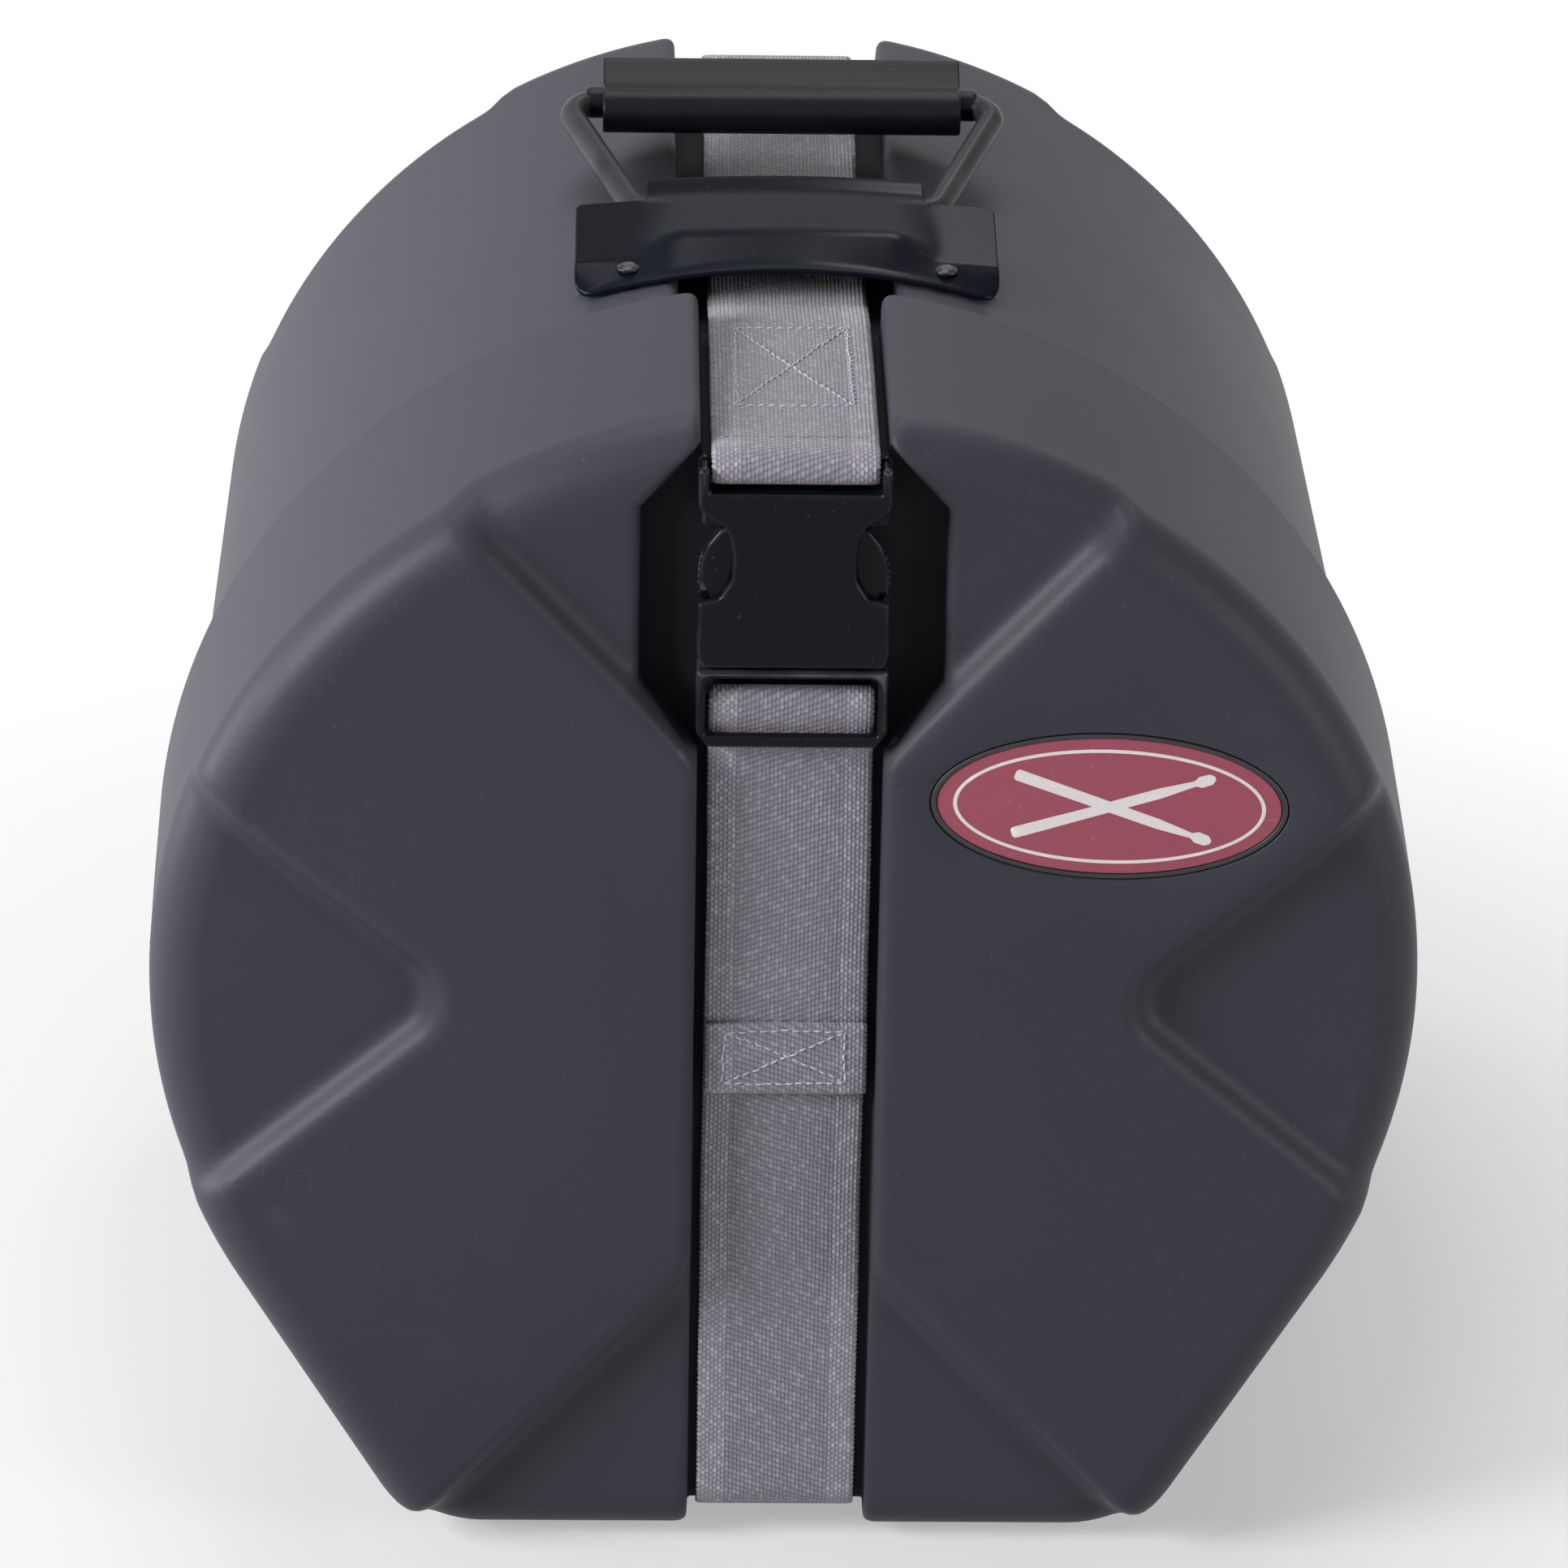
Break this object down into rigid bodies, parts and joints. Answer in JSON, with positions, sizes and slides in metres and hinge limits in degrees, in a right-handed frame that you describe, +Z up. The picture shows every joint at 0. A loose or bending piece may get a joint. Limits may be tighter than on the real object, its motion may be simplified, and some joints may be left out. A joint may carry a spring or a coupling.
{
  "type": "drum case",
  "caption": "Moulded plastic drum case with a round top and flat base, a slip-on lid, a webbing strap with a side-release buckle, and a bail handle.",
  "frame": {"origin": "on the ground under the middle of the closed case", "axes": "+X to the right as one faces the lid, +Y from the lid to the back, +Z up through the handle"},
  "size_m": [0.398, 0.376, 0.4095],
  "materials": {
    "shell_plastic": "pebbled satin",
    "buckle_plastic": "semi-gloss",
    "coated_steel": "gloss black coat",
    "rivet_steel": "darkened",
    "grip_rubber": "smooth",
    "foam": "open-cell foam",
    "webbing": "woven",
    "badge_red": "satin print"
  },
  "bodies": {
    "case_body": {"body_shell": "shell_plastic", "base_pad": "foam", "side_pad_right": "foam", "side_pad_left": "foam", "floor_pad_right": "foam", "floor_pad_left": "foam", "handle_plate": "coated_steel", "rivet_front_left": "rivet_steel", "rivet_front_right": "rivet_steel", "rivet_back_left": "rivet_steel", "rivet_back_right": "rivet_steel", "washer_front_left": "rivet_steel", "washer_front_right": "rivet_steel", "washer_back_left": "rivet_steel", "washer_back_right": "rivet_steel", "strap_top_run": "webbing", "strap_back_run": "webbing", "strap_bottom_run": "webbing"},
    "lid": {"lid_shell": "shell_plastic", "lid_pad": "foam", "badge": "badge_red"},
    "strap_upper": {"strap_upper_front": "webbing", "buckle_socket": "buckle_plastic"},
    "strap_lower": {"strap_lower_front": "webbing", "buckle_plug": "buckle_plastic"},
    "arm_right": {"buckle_arm_right": "buckle_plastic"},
    "arm_left": {"buckle_arm_left": "buckle_plastic"},
    "handle": {"handle_bail": "coated_steel", "handle_grip": "grip_rubber"}
  },
  "joints": [
    {"name": "lid_slide", "type": "slide", "parent": "case_body", "child": "lid", "axis": [0, -1, 0], "range_m": [0, 0.055], "deforming": ["strap_top_run", "strap_bottom_run"]},
    {"name": "strap_upper_swing", "type": "hinge", "parent": "lid", "child": "strap_upper", "pos_m": [0, -0.179, 0.3855], "axis": [-1, 0, 0], "range_deg": [0, 150], "deforming": ["strap_upper_front"]},
    {"name": "strap_lower_swing", "type": "hinge", "parent": "lid", "child": "strap_lower", "pos_m": [0, -0.179, 0.012], "axis": [1, 0, 0], "range_deg": [0, 88], "deforming": ["strap_lower_front"]},
    {"name": "arm_right_press", "type": "hinge", "parent": "strap_lower", "child": "arm_right", "pos_m": [0.023, -0.17975, 0.3165], "axis": [0, -1, 0], "range_deg": [0, 6], "stiffness_Nm_per_rad": 1, "deforming": ["buckle_arm_right"]},
    {"name": "arm_left_press", "type": "hinge", "parent": "strap_lower", "child": "arm_left", "pos_m": [-0.023, -0.17975, 0.3165], "axis": [0, 1, 0], "range_deg": [0, 6], "stiffness_Nm_per_rad": 1, "deforming": ["buckle_arm_left"]},
    {"name": "handle_swing", "type": "hinge", "parent": "case_body", "child": "handle", "pos_m": [0, 0.006, 0.3859], "axis": [1, 0, 0], "range_deg": [0, 95]}
  ]
}
